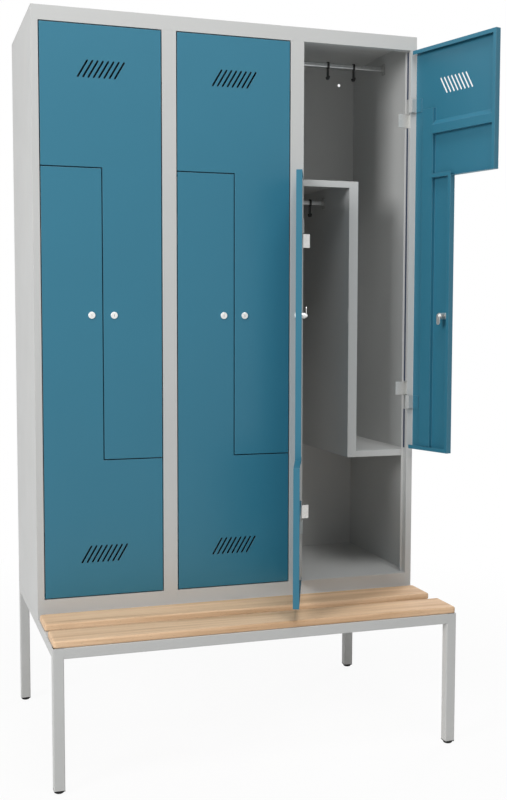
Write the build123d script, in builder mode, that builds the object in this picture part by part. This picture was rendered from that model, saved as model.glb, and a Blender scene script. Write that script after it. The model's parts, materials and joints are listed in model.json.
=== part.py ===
from build123d import *
import math
import os

# Three-bay locker on a welded tube frame that carries a slatted bench in front.
# Millimetres, +Z up, +X to the right seen from the front, the front faces -Y.
# The origin lies on the floor at the centre of the footprint.

# Driving dimensions of the cabinet
bay_count = 3
cabinet_width = 1200.0
cabinet_depth = 500.0
cabinet_height = 1760.0
sheet = 1.0
side_post_width = 20.0
middle_post_width = 43.0
post_depth = 25.0
stop_width = 7.0
head_rail_height = 42.0
foot_rail_height = 56.0
floor_lip = 25.0

# Driving dimensions of the frame and the bench
frame_height = 400.0
bench_reach = 310.0
tube = 30.0
tube_wall = 2.0
tube_round = 2.5
foot_height = 10.0
foot_flange = 2.5
foot_dome_radius = 14.2
foot_round = 6.0
plug_length = 20.0
plug_clearance = 0.1
slat_width = 115.0
slat_thickness = 20.0
slat_gap = 58.0
slat_end_inset = 2.0
slat_round = 6.0
slat_corner_round = 8.0

# Driving dimensions of the doors
door_gap = 3.0
door_depth = 18.0
door_lip = 12.0
door_edge_round = 0.8
head_door_height = 406.0
rib_bottom_from_top = 267.0
rib_height = 42.0
rib_crest_height = 26.0
hat_from_hinge_edge = 42.0
hat_width = 47.0
hat_depth = 12.0
hat_above_rib = 38.0
half_turn = 180.0
quarter_turn = 90.0
upper_open_share = 0.59
lower_open_share = 0.62

# Vents in each door
vent_count = 8
vent_length = 58.0
vent_width = 5.0
vent_pitch = 15.3
vent_lean_turn = 30.6
vent_from_opening_end = 127.0

# Hinges: two per door, each with a fixed and a moving half on one pin
pivot_inset = 9.5
pivot_setback = 7.0
hinge_height = 85.0
hinge_half_gap = 1.0
hinge_from_opening_end = 193.0
hinge_from_seam = 172.0
strap = 2.0
knuckle_radius = 3.5
pin_radius = 2.0
pin_clearance = 0.1
pin_overhang = 1.0
bracket_plate_reach = 30.0
arm_setback = 21.0
arm_reach = 6.0
arm_tab_reach = 30.0
window_margin = 1.0
slot_start = 17.0
slot_end = 23.5

# Locks: a barrel in each door and a turning plug with its cam
lock_from_centre = 33.0
rosette_radius = 10.2
rosette_thickness = 3.0
rosette_round = 1.0
barrel_radius = 9.5
barrel_length = 28.0
barrel_hole_clearance = 0.1
clip_length = 38.0
clip_height = 20.0
clip_thickness = 3.0
plug_radius = 6.0
plug_running_clearance = 0.1
plug_proud = 0.3
keyway_length = 8.0
keyway_width = 1.8
keyway_depth = 6.0
cam_setback = 30.0
cam_thickness = 2.0
cam_length = 27.0
cam_width = 14.0
cam_screw_radius = 4.0
cam_screw_height = 2.5
cam_slot_clearance = 1.0

# Z-shaped partition inside each bay
partition_setback = 27.0
divider_flange_width = 30.0
shelf_flange_height = 20.0
upper_shelf_drop = 4.5
lower_shelf_drop = 5.0

# Coat rails, their end brackets and the hooks
rail_setback = 245.0
rail_height = 16.0
rail_thickness = 9.0
rail_wall = 1.2
upper_rail_drop = 49.0
lower_rail_drop = 47.0
bracket_height = 37.0
bracket_width = 22.0
bracket_plate = 2.0
bracket_round = 4.0
collar_length = 9.0
collar_wall = 1.5
collar_clearance = 0.2
hook_width = 7.0
hook_wall = 3.2
hook_clearance = 0.3
hook_height = 58.0
hook_stem = 5.0
hook_bow_radius = 11.0
upper_hook_first_offset = -3.5
upper_hook_second_offset = 88.0
lower_hook_offset = -64.0

# Wall fixing holes in the back panel
wall_hole_radius = 5.0
wall_hole_from_side = 58.0
wall_hole_drop = 55.0

# Fasteners
slat_screw_radius = 2.5
slat_screw_head_radius = 5.0
slat_screw_head_height = 3.0
slat_screw_bite = 14.0
slat_screw_spacing = 40.0
bolt_radius = 3.0
bolt_head_radius = 5.5
bolt_head_height = 4.0
bolt_nut_height = 5.0
bolt_end = 2.0
bolt_from_bay_centre = 120.0
fastener_hole_clearance = 0.3
cut_overrun = 5.0

# Levels and planes that follow from the driving dimensions
overall_depth = cabinet_depth + bench_reach
front_y = -overall_depth / 2
back_y = overall_depth / 2
face_y = back_y - cabinet_depth
bottom_z = frame_height
top_z = frame_height + cabinet_height
tube_bottom_z = frame_height - tube
opening_bottom_z = bottom_z + foot_rail_height
opening_top_z = top_z - head_rail_height
opening_height = opening_top_z - opening_bottom_z
mid_z = (opening_top_z + opening_bottom_z) / 2
upper_seam_z = opening_top_z - head_door_height
lower_seam_z = opening_bottom_z + head_door_height
half_width = cabinet_width / 2
posts_width = 2 * side_post_width + (bay_count - 1) * middle_post_width
opening_width = (cabinet_width - posts_width) / bay_count
bay_pitch = opening_width + middle_post_width
bay_centres = [(bay - (bay_count - 1) / 2) * bay_pitch for bay in range(bay_count)]
wall_centres = [(left + right) / 2 for left, right in zip(bay_centres, bay_centres[1:])]
bay_lefts = [sheet - half_width] + [x + sheet / 2 for x in wall_centres]
bay_rights = [x - sheet / 2 for x in wall_centres] + [half_width - sheet]
upper_shelf_z = upper_seam_z - upper_shelf_drop
lower_shelf_z = lower_seam_z - lower_shelf_drop
partition_y = face_y + partition_setback
rail_y = face_y + rail_setback
upper_rail_z = top_z - upper_rail_drop
lower_rail_z = upper_shelf_z - lower_rail_drop
frame_corner_x = half_width - tube / 2
frame_corner_y = overall_depth / 2 - tube / 2
bearer_end_y = face_y

# Hinge levels: each upper door, then each lower door, as (centre, side of the moving half)
upper_door_hinges = [
    (opening_top_z - hinge_from_opening_end, 1),
    (lower_seam_z + hinge_from_seam, -1),
]
lower_door_hinges = [(2 * mid_z - level, -side) for level, side in upper_door_hinges]
upper_door_span = (lower_seam_z + door_gap / 2, opening_top_z - door_gap)
lower_door_span = (opening_bottom_z + door_gap, upper_seam_z - door_gap / 2)


def block(low, high, mode=Mode.ADD):
    """Add or cut a block, given by two opposite corners, in the part being built."""
    size = [abs(b - a) for a, b in zip(low, high)]
    centre = tuple((a + b) / 2 for a, b in zip(low, high))
    with Locations(centre):
        Box(*size, mode=mode)


def area(low, high, mode=Mode.ADD):
    """Add or cut a rectangle, given by two opposite corners, in the sketch being built."""
    with Locations(((low[0] + high[0]) / 2, (low[1] + high[1]) / 2)):
        Rectangle(abs(high[0] - low[0]), abs(high[1] - low[1]), mode=mode)


def upright_cylinders(points, radius, z_low, z_high, mode=Mode.ADD):
    """Add or cut vertical cylinders at the given places."""
    with BuildSketch(Plane.XY.offset(z_low)) as circles:
        with Locations(*points):
            Circle(radius)
    extrude(circles.sketch, amount=z_high - z_low, mode=mode)


def save(shape, name):
    """Label a finished piece and write it under its name."""
    shape.label = name
    export_step(shape, "parts/" + name + ".step")


def half_span(level, side, moving):
    """Lowest and highest z of the fixed or the moving half of a hinge."""
    if not moving:
        side = -side
    ends = (level + side * hinge_half_gap / 2, level + side * hinge_height / 2)
    return min(ends), max(ends)


def post_edge(edge_x, hand, hinges, door_span):
    """Return wall and stop flange on one edge of a post, with the slot and windows of its hinges.

    hand is +1 where the post's hollow lies on the +X side of the edge.
    """
    block((edge_x, face_y, opening_bottom_z), (edge_x + hand * sheet, face_y + post_depth, opening_top_z))
    block(
        (edge_x - hand * stop_width, face_y + post_depth - sheet, opening_bottom_z),
        (edge_x + hand * sheet, face_y + post_depth, opening_top_z),
    )
    if not hinges:
        return
    block(
        (edge_x, face_y + slot_start, door_span[0]),
        (edge_x + hand * sheet, face_y + slot_end, door_span[1]),
        mode=Mode.SUBTRACT,
    )
    window_half = hinge_height / 2 + window_margin
    for level, side in hinges:
        block(
            (edge_x, face_y + sheet, level - window_half),
            (edge_x + hand * sheet, face_y + post_depth - sheet, level + window_half),
            mode=Mode.SUBTRACT,
        )


# Side panels, one plain sheet each
for name, hand in (("side_left", -1), ("side_right", 1)):
    with BuildPart() as side:
        block(
            (hand * (half_width - sheet), face_y + sheet, bottom_z),
            (hand * half_width, back_y, top_z - sheet),
        )
    save(side.part, name)


# Side posts, folded from a sheet each and seated on the front edges of the side panels
side_post_edge = half_width - side_post_width
with BuildPart() as side_posts:
    block((-half_width, face_y, opening_bottom_z), (-side_post_edge, face_y + sheet, opening_top_z))
    post_edge(-side_post_edge, -1, lower_door_hinges, lower_door_span)
    block((side_post_edge, face_y, opening_bottom_z), (half_width, face_y + sheet, opening_top_z))
    post_edge(side_post_edge, 1, upper_door_hinges, upper_door_span)
save(side_posts.part, "side_posts")


# Partitions between the bays, each a wall with a middle post in front
for number, wall_x in enumerate(wall_centres, start=1):
    left_edge = wall_x - middle_post_width / 2
    right_edge = wall_x + middle_post_width / 2
    with BuildPart() as partition:
        block(
            (wall_x - sheet / 2, face_y + sheet, bottom_z),
            (wall_x + sheet / 2, back_y - sheet, top_z - sheet),
        )
        block(
            (wall_x - sheet / 2, face_y + sheet, opening_top_z),
            (wall_x + sheet / 2, face_y + post_depth, top_z - sheet),
            mode=Mode.SUBTRACT,
        )
        block((left_edge, face_y, opening_bottom_z), (right_edge, face_y + sheet, opening_top_z))
        post_edge(left_edge, 1, upper_door_hinges, upper_door_span)
        post_edge(right_edge, -1, lower_door_hinges, lower_door_span)
    save(partition.part, f"partition_{number}")


# Roof with its head rail, which runs over all the posts
with BuildPart() as roof:
    block((-half_width, face_y, top_z - sheet), (half_width, back_y, top_z))
    block((-half_width, face_y, opening_top_z), (half_width, face_y + sheet, top_z))
    block(
        (sheet - half_width, face_y, opening_top_z),
        (half_width - sheet, face_y + post_depth, opening_top_z + sheet),
    )
save(roof.part, "roof")


# Back panel with its two wall fixing holes
with BuildPart() as back_panel:
    block((sheet - half_width, back_y - sheet, bottom_z), (half_width - sheet, back_y, top_z - sheet))
    hole_x = half_width - wall_hole_from_side
    with BuildSketch(Plane.XZ.offset(-back_y)):
        with Locations((-hole_x, top_z - wall_hole_drop), (hole_x, top_z - wall_hole_drop)):
            Circle(wall_hole_radius)
    extrude(amount=sheet, both=True, mode=Mode.SUBTRACT)
save(back_panel.part, "back_panel")


# Bolts between the floor pans and the frame: one row in front, one at the back
front_bolt_y = face_y + tube / 2
rear_bolt_y = back_y - tube / 2


def bolt_points(centre_x):
    """Bolt places of one floor pan."""
    across = (centre_x - bolt_from_bay_centre, centre_x + bolt_from_bay_centre)
    return [(x, y) for x in across for y in (front_bolt_y, rear_bolt_y)]


all_bolt_points = [point for centre_x in bay_centres for point in bolt_points(centre_x)]
bolt_hole_radius = bolt_radius + fastener_hole_clearance


# Floor pans, one for each bay; the foot rail in front covers the posts' feet
for number, centre_x in enumerate(bay_centres, start=1):
    left_x = bay_lefts[number - 1]
    right_x = bay_rights[number - 1]
    flange_left = -half_width if number == 1 else centre_x - opening_width / 2
    flange_right = half_width if number == bay_count else centre_x + opening_width / 2 + middle_post_width
    with BuildPart() as floor_pan:
        block(
            (left_x, face_y + sheet, opening_bottom_z - sheet),
            (right_x, back_y - sheet, opening_bottom_z),
        )
        block((flange_left, face_y, bottom_z), (flange_right, face_y + sheet, opening_bottom_z))
        block((left_x, face_y + sheet, bottom_z), (right_x, face_y + floor_lip, bottom_z + sheet))
        block(
            (left_x, back_y - 2 * sheet, bottom_z),
            (right_x, back_y - sheet, opening_bottom_z),
        )
        block(
            (left_x, back_y - sheet - floor_lip, bottom_z),
            (right_x, back_y - sheet, bottom_z + sheet),
        )
        upright_cylinders(
            bolt_points(centre_x),
            bolt_hole_radius,
            bottom_z - cut_overrun,
            bottom_z + cut_overrun,
            mode=Mode.SUBTRACT,
        )
    save(floor_pan.part, f"floor_{number}")


# Z partitions: upper shelf, divider and lower shelf folded from one sheet,
# with a slot behind the divider's flange for the cam of the lower door
cam_slot_offset = lock_from_centre - divider_flange_width / 2
cam_slot_half = math.sqrt(cam_length**2 - cam_slot_offset**2) + cam_slot_clearance
for number, centre_x in enumerate(bay_centres, start=1):
    left_x = bay_lefts[number - 1]
    right_x = bay_rights[number - 1]
    divider_x = centre_x - divider_flange_width / 2
    flange_back_y = partition_y + sheet
    with BuildPart() as z_partition:
        block((left_x, partition_y, upper_shelf_z - sheet), (divider_x + sheet, back_y - sheet, upper_shelf_z))
        block(
            (divider_x, partition_y, lower_shelf_z - shelf_flange_height),
            (divider_x + sheet, back_y - sheet, upper_shelf_z),
        )
        block((divider_x, partition_y, lower_shelf_z - sheet), (right_x, back_y - sheet, lower_shelf_z))
        block((left_x, partition_y, upper_shelf_z - shelf_flange_height), (divider_x, flange_back_y, upper_shelf_z))
        block(
            (divider_x, partition_y, lower_shelf_z - shelf_flange_height),
            (divider_x + divider_flange_width, flange_back_y, upper_shelf_z),
        )
        block((divider_x, partition_y, lower_shelf_z - shelf_flange_height), (right_x, flange_back_y, lower_shelf_z))
        block(
            (divider_x, face_y + cam_setback - cam_slot_clearance, mid_z - cam_slot_half),
            (divider_x + sheet, face_y + cam_setback + cam_thickness + cam_slot_clearance, mid_z + cam_slot_half),
            mode=Mode.SUBTRACT,
        )
    save(z_partition.part, f"z_partition_{number}")


def hinge_places():
    """Every hinge as (post edge, direction into the post, centre level, side of its moving half)."""
    places = []
    for centre_x in bay_centres:
        for level, side in upper_door_hinges:
            places.append((centre_x + opening_width / 2, 1, level, side))
        for level, side in lower_door_hinges:
            places.append((centre_x - opening_width / 2, -1, level, side))
    return places


# Fixed hinge halves: a plate seated on the stop flange, a strap into the post and a knuckle
with BuildPart() as hinge_brackets:
    for edge_x, hand, level, side in hinge_places():
        z_low, z_high = half_span(level, side, moving=False)
        pivot_x = edge_x + hand * pivot_inset
        strap_near = pivot_x - hand * strap / 2
        strap_far = pivot_x + hand * strap / 2
        plate_back = face_y + post_depth - sheet
        with BuildSketch(Plane.XY.offset(z_low)):
            area((edge_x - hand * bracket_plate_reach, plate_back - strap), (strap_far, plate_back))
            area((strap_near, face_y + pivot_setback), (strap_far, plate_back))
            with Locations((pivot_x, face_y + pivot_setback)):
                Circle(knuckle_radius)
                Circle(pin_radius, mode=Mode.SUBTRACT)
        extrude(amount=z_high - z_low)
save(hinge_brackets.part, "hinge_brackets")


# Hinge pins
with BuildPart() as hinge_pins:
    for edge_x, hand, level, side in hinge_places():
        pin_half = hinge_height / 2 + pin_overhang
        pin_point = (edge_x + hand * pivot_inset, face_y + pivot_setback)
        upright_cylinders([pin_point], pin_radius, level - pin_half, level + pin_half)
save(hinge_pins.part, "hinge_pins")


# Doors are built once, about the middle of the opening's front plane: x to the right,
# y to the back, z up, hinged on the right. Turned by half a turn it is the lower door.
door_right = opening_width / 2 - door_gap
door_top = opening_height / 2 - door_gap
door_bottom = lower_seam_z - mid_z + door_gap / 2
door_notch = upper_seam_z - mid_z + door_gap / 2
hat_right = door_right - hat_from_hinge_edge
hat_left = hat_right - hat_width
rib_bottom = door_top - rib_bottom_from_top
local_pivot_x = opening_width / 2 + pivot_inset
lock_hole_radius = barrel_radius + barrel_hole_clearance


def door_outline(inset, mode=Mode.ADD):
    """L-shaped outline whose free edges are moved in by inset; the hinge edge stays."""
    with BuildLine() as outline:
        Polyline(
            (inset - door_right, door_top - inset),
            (door_right, door_top - inset),
            (door_right, door_bottom + inset),
            (door_gap / 2 + inset, door_bottom + inset),
            (door_gap / 2 + inset, door_notch + inset),
            (inset - door_right, door_notch + inset),
            close=True,
        )
    make_face(outline.edges(), mode=mode)


def rib_outline(inset, mode=Mode.ADD):
    """Sloped section of the cross rib, in depth and height, moved in by inset."""
    with BuildLine() as outline:
        Polyline(
            (sheet, rib_bottom + inset),
            (door_depth - inset, rib_bottom + inset),
            (door_depth - inset, rib_bottom + rib_crest_height - inset),
            (sheet, rib_bottom + rib_height - inset),
            close=True,
        )
    make_face(outline.edges(), mode=mode)


with BuildPart() as door:
    # Skin, the walls on its free edges and the lips behind them
    with BuildSketch(Plane.XZ):
        door_outline(0)
    extrude(amount=-sheet)
    with BuildSketch(Plane.XZ.offset(-sheet)):
        door_outline(0)
        door_outline(sheet, mode=Mode.SUBTRACT)
    extrude(amount=sheet - door_depth)
    fillet(door.edges().group_by(Axis.Y)[0], door_edge_round)
    with BuildSketch(Plane.XZ.offset(sheet - door_depth)):
        door_outline(0)
        door_outline(door_lip, mode=Mode.SUBTRACT)
        area((door_lip - door_right, door_notch + sheet), (door_gap / 2, door_notch + door_lip), mode=Mode.SUBTRACT)
        area((door_gap / 2, door_notch), (hat_left, door_notch + door_lip))
    extrude(amount=-sheet)

    # The notch's wall runs on across the column to the stiffener
    block((door_gap / 2, sheet, door_notch), (hat_left + sheet, door_depth, door_notch + sheet))

    # Upright hat stiffener beside the hinge edge, open at both ends
    hat_bottom = door_bottom + door_lip
    hat_top = rib_bottom + rib_height + hat_above_rib
    block((hat_left, sheet, hat_bottom), (hat_right, hat_depth, hat_top))
    block(
        (hat_left + sheet, sheet, hat_bottom),
        (hat_right - sheet, hat_depth - sheet, hat_top),
        mode=Mode.SUBTRACT,
    )

    # Cross rib from the stiffener to the lip of the free edge, open at both ends
    rib_length = hat_left - door_lip + door_right
    with BuildSketch(Plane.YZ.offset(door_lip - door_right)):
        rib_outline(0)
        rib_outline(sheet, mode=Mode.SUBTRACT)
    extrude(amount=rib_length)

    # Leaning vent slots
    with BuildSketch(Plane.XZ):
        with Locations((0, opening_height / 2 - vent_from_opening_end)):
            with GridLocations(vent_pitch, 0, vent_count, 1):
                SlotOverall(vent_length, vent_width, rotation=quarter_turn - vent_lean_turn)
    extrude(amount=-sheet, mode=Mode.SUBTRACT)

    # Lock hole
    with BuildSketch(Plane.XZ):
        with Locations((lock_from_centre, 0)):
            Circle(lock_hole_radius)
    extrude(amount=-sheet, mode=Mode.SUBTRACT)

    # Moving hinge halves: a tab on the skin, a strap round the post's edge and a knuckle
    for level, side in upper_door_hinges:
        z_low, z_high = half_span(level - mid_z, side, moving=True)
        edge_x = opening_width / 2
        with BuildSketch(Plane.XY.offset(z_low)):
            area((edge_x - arm_tab_reach, sheet), (edge_x - arm_reach + strap, sheet + strap))
            area((edge_x - arm_reach, sheet), (edge_x - arm_reach + strap, arm_setback))
            area((edge_x - arm_reach, arm_setback - strap), (local_pivot_x + strap / 2, arm_setback))
            area((local_pivot_x - strap / 2, pivot_setback), (local_pivot_x + strap / 2, arm_setback))
            with Locations((local_pivot_x, pivot_setback)):
                Circle(knuckle_radius)
                Circle(pin_radius + pin_clearance, mode=Mode.SUBTRACT)
        extrude(amount=z_high - z_low)


# Lock body: rosette, barrel and the clip that holds it, bored for the plug
with BuildPart() as lock_body:
    with BuildSketch(Plane.XZ):
        with Locations((lock_from_centre, 0)):
            Circle(rosette_radius)
    extrude(amount=rosette_thickness)
    fillet(lock_body.edges().group_by(Axis.Y)[0], rosette_round)
    with BuildSketch(Plane.XZ):
        with Locations((lock_from_centre, 0)):
            Circle(barrel_radius)
    extrude(amount=-barrel_length)
    with BuildSketch(Plane.XZ.offset(-sheet)):
        with Locations((lock_from_centre, 0)):
            SlotOverall(clip_length, clip_height)
    extrude(amount=-clip_thickness)
    with BuildSketch(Plane.XZ.offset(rosette_thickness)):
        with Locations((lock_from_centre, 0)):
            Circle(plug_radius + plug_running_clearance)
    extrude(amount=-rosette_thickness - barrel_length, mode=Mode.SUBTRACT)


# Lock cam: the plug with its keyway, the cam and the cam's screw; unlocked, it hangs down
with BuildPart() as lock_cam:
    with BuildSketch(Plane.XZ.offset(rosette_thickness + plug_proud)):
        with Locations((lock_from_centre, 0)):
            Circle(plug_radius)
    extrude(amount=-rosette_thickness - plug_proud - cam_setback)
    with BuildSketch(Plane.XZ.offset(rosette_thickness + plug_proud)):
        with Locations((lock_from_centre, 0)):
            SlotOverall(keyway_length, keyway_width, rotation=quarter_turn)
    extrude(amount=-keyway_depth, mode=Mode.SUBTRACT)
    cam_centres = cam_length - cam_width / 2
    with BuildSketch(Plane.XZ.offset(-cam_setback)):
        with Locations((lock_from_centre, -cam_centres / 2)):
            SlotCenterToCenter(cam_centres, cam_width, rotation=quarter_turn)
    extrude(amount=-cam_thickness)
    with BuildSketch(Plane.XZ.offset(-cam_setback - cam_thickness)):
        with Locations((lock_from_centre, 0)):
            Circle(cam_screw_radius)
    extrude(amount=-cam_screw_height)


def door_place(centre_x, turn, open_angle):
    """Place of a door and its lock: its bay, right way up or turned, closed or open."""
    pivot = Location((local_pivot_x, pivot_setback, 0))
    swing = pivot * Location((0, 0, 0), (0, 0, open_angle)) * pivot.inverse()
    return Location((centre_x, face_y, mid_z)) * Location((0, 0, 0), (0, turn, 0)) * swing


# The doors of the last bay stand open, by their shares of half a turn, all others are closed
for number, centre_x in enumerate(bay_centres, start=1):
    last = number == bay_count
    upper_place = door_place(centre_x, 0, half_turn * upper_open_share if last else 0)
    lower_place = door_place(centre_x, half_turn, half_turn * lower_open_share if last else 0)
    for kind, place in (("upper", upper_place), ("lower", lower_place)):
        save(door.part.moved(place), f"{kind}_door_{number}")
        save(lock_body.part.moved(place), f"{kind}_lock_{number}")
        save(lock_cam.part.moved(place), f"{kind}_lock_cam_{number}")


# Coat rails: an oval tube between two walls, a bracket at each end
def coat_rail(left_x, right_x, level):
    """Add one oval rail between the end plates of its brackets."""
    with BuildSketch(Plane.YZ.offset(left_x + bracket_plate)) as section:
        with Locations((rail_y, level)):
            SlotOverall(rail_height, rail_thickness, rotation=quarter_turn)
            SlotOverall(
                rail_height - 2 * rail_wall,
                rail_thickness - 2 * rail_wall,
                rotation=quarter_turn,
                mode=Mode.SUBTRACT,
            )
    extrude(section.sketch, amount=right_x - left_x - 2 * bracket_plate)


def rail_bracket(wall_x, hand, level):
    """Add one bracket: a plate on the wall and a collar round the rail's end."""
    collar_inner_height = rail_height + 2 * collar_clearance
    collar_inner_width = rail_thickness + 2 * collar_clearance
    with BuildSketch(Plane.YZ.offset(wall_x)) as plate:
        with Locations((rail_y, level)):
            RectangleRounded(bracket_width, bracket_height, bracket_round)
    extrude(plate.sketch, amount=hand * bracket_plate)
    with BuildSketch(Plane.YZ.offset(wall_x + hand * bracket_plate)) as collar:
        with Locations((rail_y, level)):
            SlotOverall(
                collar_inner_height + 2 * collar_wall,
                collar_inner_width + 2 * collar_wall,
                rotation=quarter_turn,
            )
            SlotOverall(
                collar_inner_height,
                collar_inner_width,
                rotation=quarter_turn,
                mode=Mode.SUBTRACT,
            )
    extrude(collar.sketch, amount=hand * collar_length)


upper_rail_spans = list(zip(bay_lefts, bay_rights))
lower_rail_spans = [(left_x, x - divider_flange_width / 2) for left_x, x in zip(bay_lefts, bay_centres)]

with BuildPart() as upper_coat_rails:
    for left_x, right_x in upper_rail_spans:
        coat_rail(left_x, right_x, upper_rail_z)
save(upper_coat_rails.part, "upper_coat_rails")

with BuildPart() as lower_coat_rails:
    for left_x, right_x in lower_rail_spans:
        coat_rail(left_x, right_x, lower_rail_z)
save(lower_coat_rails.part, "lower_coat_rails")

with BuildPart() as rail_brackets:
    for spans, level in ((upper_rail_spans, upper_rail_z), (lower_rail_spans, lower_rail_z)):
        for left_x, right_x in spans:
            rail_bracket(left_x, 1, level)
            rail_bracket(right_x, -1, level)
save(rail_brackets.part, "rail_brackets")


# Coat hook, built about the middle of the rail's section: an eye round the rail,
# a stem and a bow that turns up in front and behind
eye_height = rail_height + 2 * hook_clearance + 2 * hook_wall
eye_width = rail_thickness + 2 * hook_clearance + 2 * hook_wall
bow_level = eye_height / 2 + hook_bow_radius - hook_height
with BuildPart() as coat_hook:
    with BuildSketch(Plane.YZ.offset(-hook_width / 2)):
        with Locations((0, bow_level)):
            Circle(hook_bow_radius)
            Circle(hook_bow_radius - hook_wall, mode=Mode.SUBTRACT)
        area((-hook_bow_radius, bow_level), (hook_bow_radius, bow_level + hook_bow_radius), mode=Mode.SUBTRACT)
        area((-hook_stem / 2, bow_level - hook_bow_radius + hook_wall / 2), (hook_stem / 2, 0))
        SlotOverall(eye_height, eye_width, rotation=quarter_turn)
        SlotOverall(
            eye_height - 2 * hook_wall,
            eye_width - 2 * hook_wall,
            rotation=quarter_turn,
            mode=Mode.SUBTRACT,
        )
    extrude(amount=hook_width)

for number, centre_x in enumerate(bay_centres, start=1):
    hook_places = (
        ("upper_hook_a", upper_hook_first_offset, upper_rail_z),
        ("upper_hook_b", upper_hook_second_offset, upper_rail_z),
        ("lower_hook", lower_hook_offset, lower_rail_z),
    )
    for name, offset_x, level in hook_places:
        save(coat_hook.part.moved(Location((centre_x + offset_x, rail_y, level))), f"{name}_{number}")


# Places of the slats and their screws
front_slat_y = front_y + slat_width / 2
rear_slat_y = front_slat_y + slat_gap + slat_width
screw_columns = (-frame_corner_x, 0, frame_corner_x)
screw_points = [
    (x, slat_y + side * slat_screw_spacing / 2)
    for slat_y in (front_slat_y, rear_slat_y)
    for x in screw_columns
    for side in (-1, 1)
]
screw_hole_radius = slat_screw_radius + fastener_hole_clearance


def tube_section(size_outer, round_outer):
    """Square tube section with its hollow."""
    RectangleRounded(size_outer, size_outer, round_outer)
    Rectangle(size_outer - 2 * tube_wall, size_outer - 2 * tube_wall, mode=Mode.SUBTRACT)


def fastener_holes(points, radius):
    """Cut fastener holes up through both walls of a lying tube."""
    if points:
        upright_cylinders(points, radius, tube_bottom_z - cut_overrun, frame_height + cut_overrun, mode=Mode.SUBTRACT)


def make_tube(name, start, direction, length, bolts=(), screws=()):
    """One straight frame tube from the middle of its end face, with its fastener holes."""
    side_direction = (1, 0, 0) if direction[0] == 0 else (0, 1, 0)
    with BuildPart() as piece:
        with BuildSketch(Plane(origin=start, x_dir=side_direction, z_dir=direction)):
            tube_section(tube, tube_round)
        extrude(amount=length)
        fastener_holes(bolts, bolt_hole_radius)
        fastener_holes(screws, screw_hole_radius)
    save(piece.part, name)


def on_line(points, axis, value):
    """The points that lie on one line, by their x or y."""
    return [point for point in points if math.isclose(point[axis], value)]


# Frame: four legs, four rails between them, a middle rail and a bearer under the slats
tube_z = frame_height - tube / 2
clear_x = half_width - tube
clear_y = overall_depth / 2 - tube
left_screws = on_line(screw_points, 0, -frame_corner_x)
right_screws = on_line(screw_points, 0, frame_corner_x)
bearer_screws = on_line(screw_points, 0, 0)
rear_bolts = on_line(all_bolt_points, 1, rear_bolt_y)
front_bolts = on_line(all_bolt_points, 1, front_bolt_y)
middle_rail_y = face_y + tube / 2
make_tube("front_rail", (-clear_x, -frame_corner_y, tube_z), (1, 0, 0), 2 * clear_x)
make_tube("rear_rail", (-clear_x, frame_corner_y, tube_z), (1, 0, 0), 2 * clear_x, bolts=rear_bolts)
make_tube("middle_rail", (-clear_x, middle_rail_y, tube_z), (1, 0, 0), 2 * clear_x, bolts=front_bolts)
make_tube("side_rail_left", (-frame_corner_x, -clear_y, tube_z), (0, 1, 0), 2 * clear_y, screws=left_screws)
make_tube("side_rail_right", (frame_corner_x, -clear_y, tube_z), (0, 1, 0), 2 * clear_y, screws=right_screws)
make_tube("bench_bearer", (0, -clear_y, tube_z), (0, 1, 0), bearer_end_y + clear_y, screws=bearer_screws)

leg_places = {
    "leg_front_left": (-frame_corner_x, -frame_corner_y),
    "leg_front_right": (frame_corner_x, -frame_corner_y),
    "leg_rear_left": (-frame_corner_x, frame_corner_y),
    "leg_rear_right": (frame_corner_x, frame_corner_y),
}
for name, (leg_x, leg_y) in leg_places.items():
    make_tube(name, (leg_x, leg_y, foot_height), (0, 0, 1), frame_height - foot_height)


# Domed plastic feet with a plug up into each leg
plug_size = tube - 2 * tube_wall - 2 * plug_clearance
with BuildPart() as leg_feet:
    with BuildSketch():
        with Locations(*leg_places.values()):
            Circle(foot_dome_radius)
    extrude(amount=foot_height)
    fillet(leg_feet.edges().group_by(Axis.Z)[0], foot_round)
    with BuildSketch(Plane.XY.offset(foot_height - foot_flange)):
        with Locations(*leg_places.values()):
            RectangleRounded(tube, tube, tube_round)
    extrude(amount=foot_flange)
    with BuildSketch(Plane.XY.offset(foot_height)):
        with Locations(*leg_places.values()):
            Rectangle(plug_size, plug_size)
    extrude(amount=plug_length)
save(leg_feet.part, "leg_feet")


# Bench slats with rounded edges and blind holes for their screws
for name, slat_y in (("slat_front", front_slat_y), ("slat_rear", rear_slat_y)):
    with BuildPart() as slat:
        with BuildSketch(Plane.XY.offset(frame_height)):
            with Locations((0, slat_y)):
                RectangleRounded(cabinet_width - 2 * slat_end_inset, slat_width, slat_corner_round)
        extrude(amount=slat_thickness)
        fillet(slat.edges().group_by(Axis.Z)[0] + slat.edges().group_by(Axis.Z)[-1], slat_round)
        slat_screws_here = [point for point in screw_points if abs(point[1] - slat_y) < slat_width / 2]
        upright_cylinders(
            slat_screws_here,
            slat_screw_radius,
            frame_height,
            frame_height + slat_screw_bite,
            mode=Mode.SUBTRACT,
        )
    save(slat.part, name)


# Slat screws: heads under the tubes, shanks up into the slats
with BuildPart() as slat_screws:
    upright_cylinders(
        screw_points, slat_screw_head_radius, tube_bottom_z - slat_screw_head_height, tube_bottom_z
    )
    upright_cylinders(screw_points, slat_screw_radius, tube_bottom_z, frame_height + slat_screw_bite)
save(slat_screws.part, "slat_screws")


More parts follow.
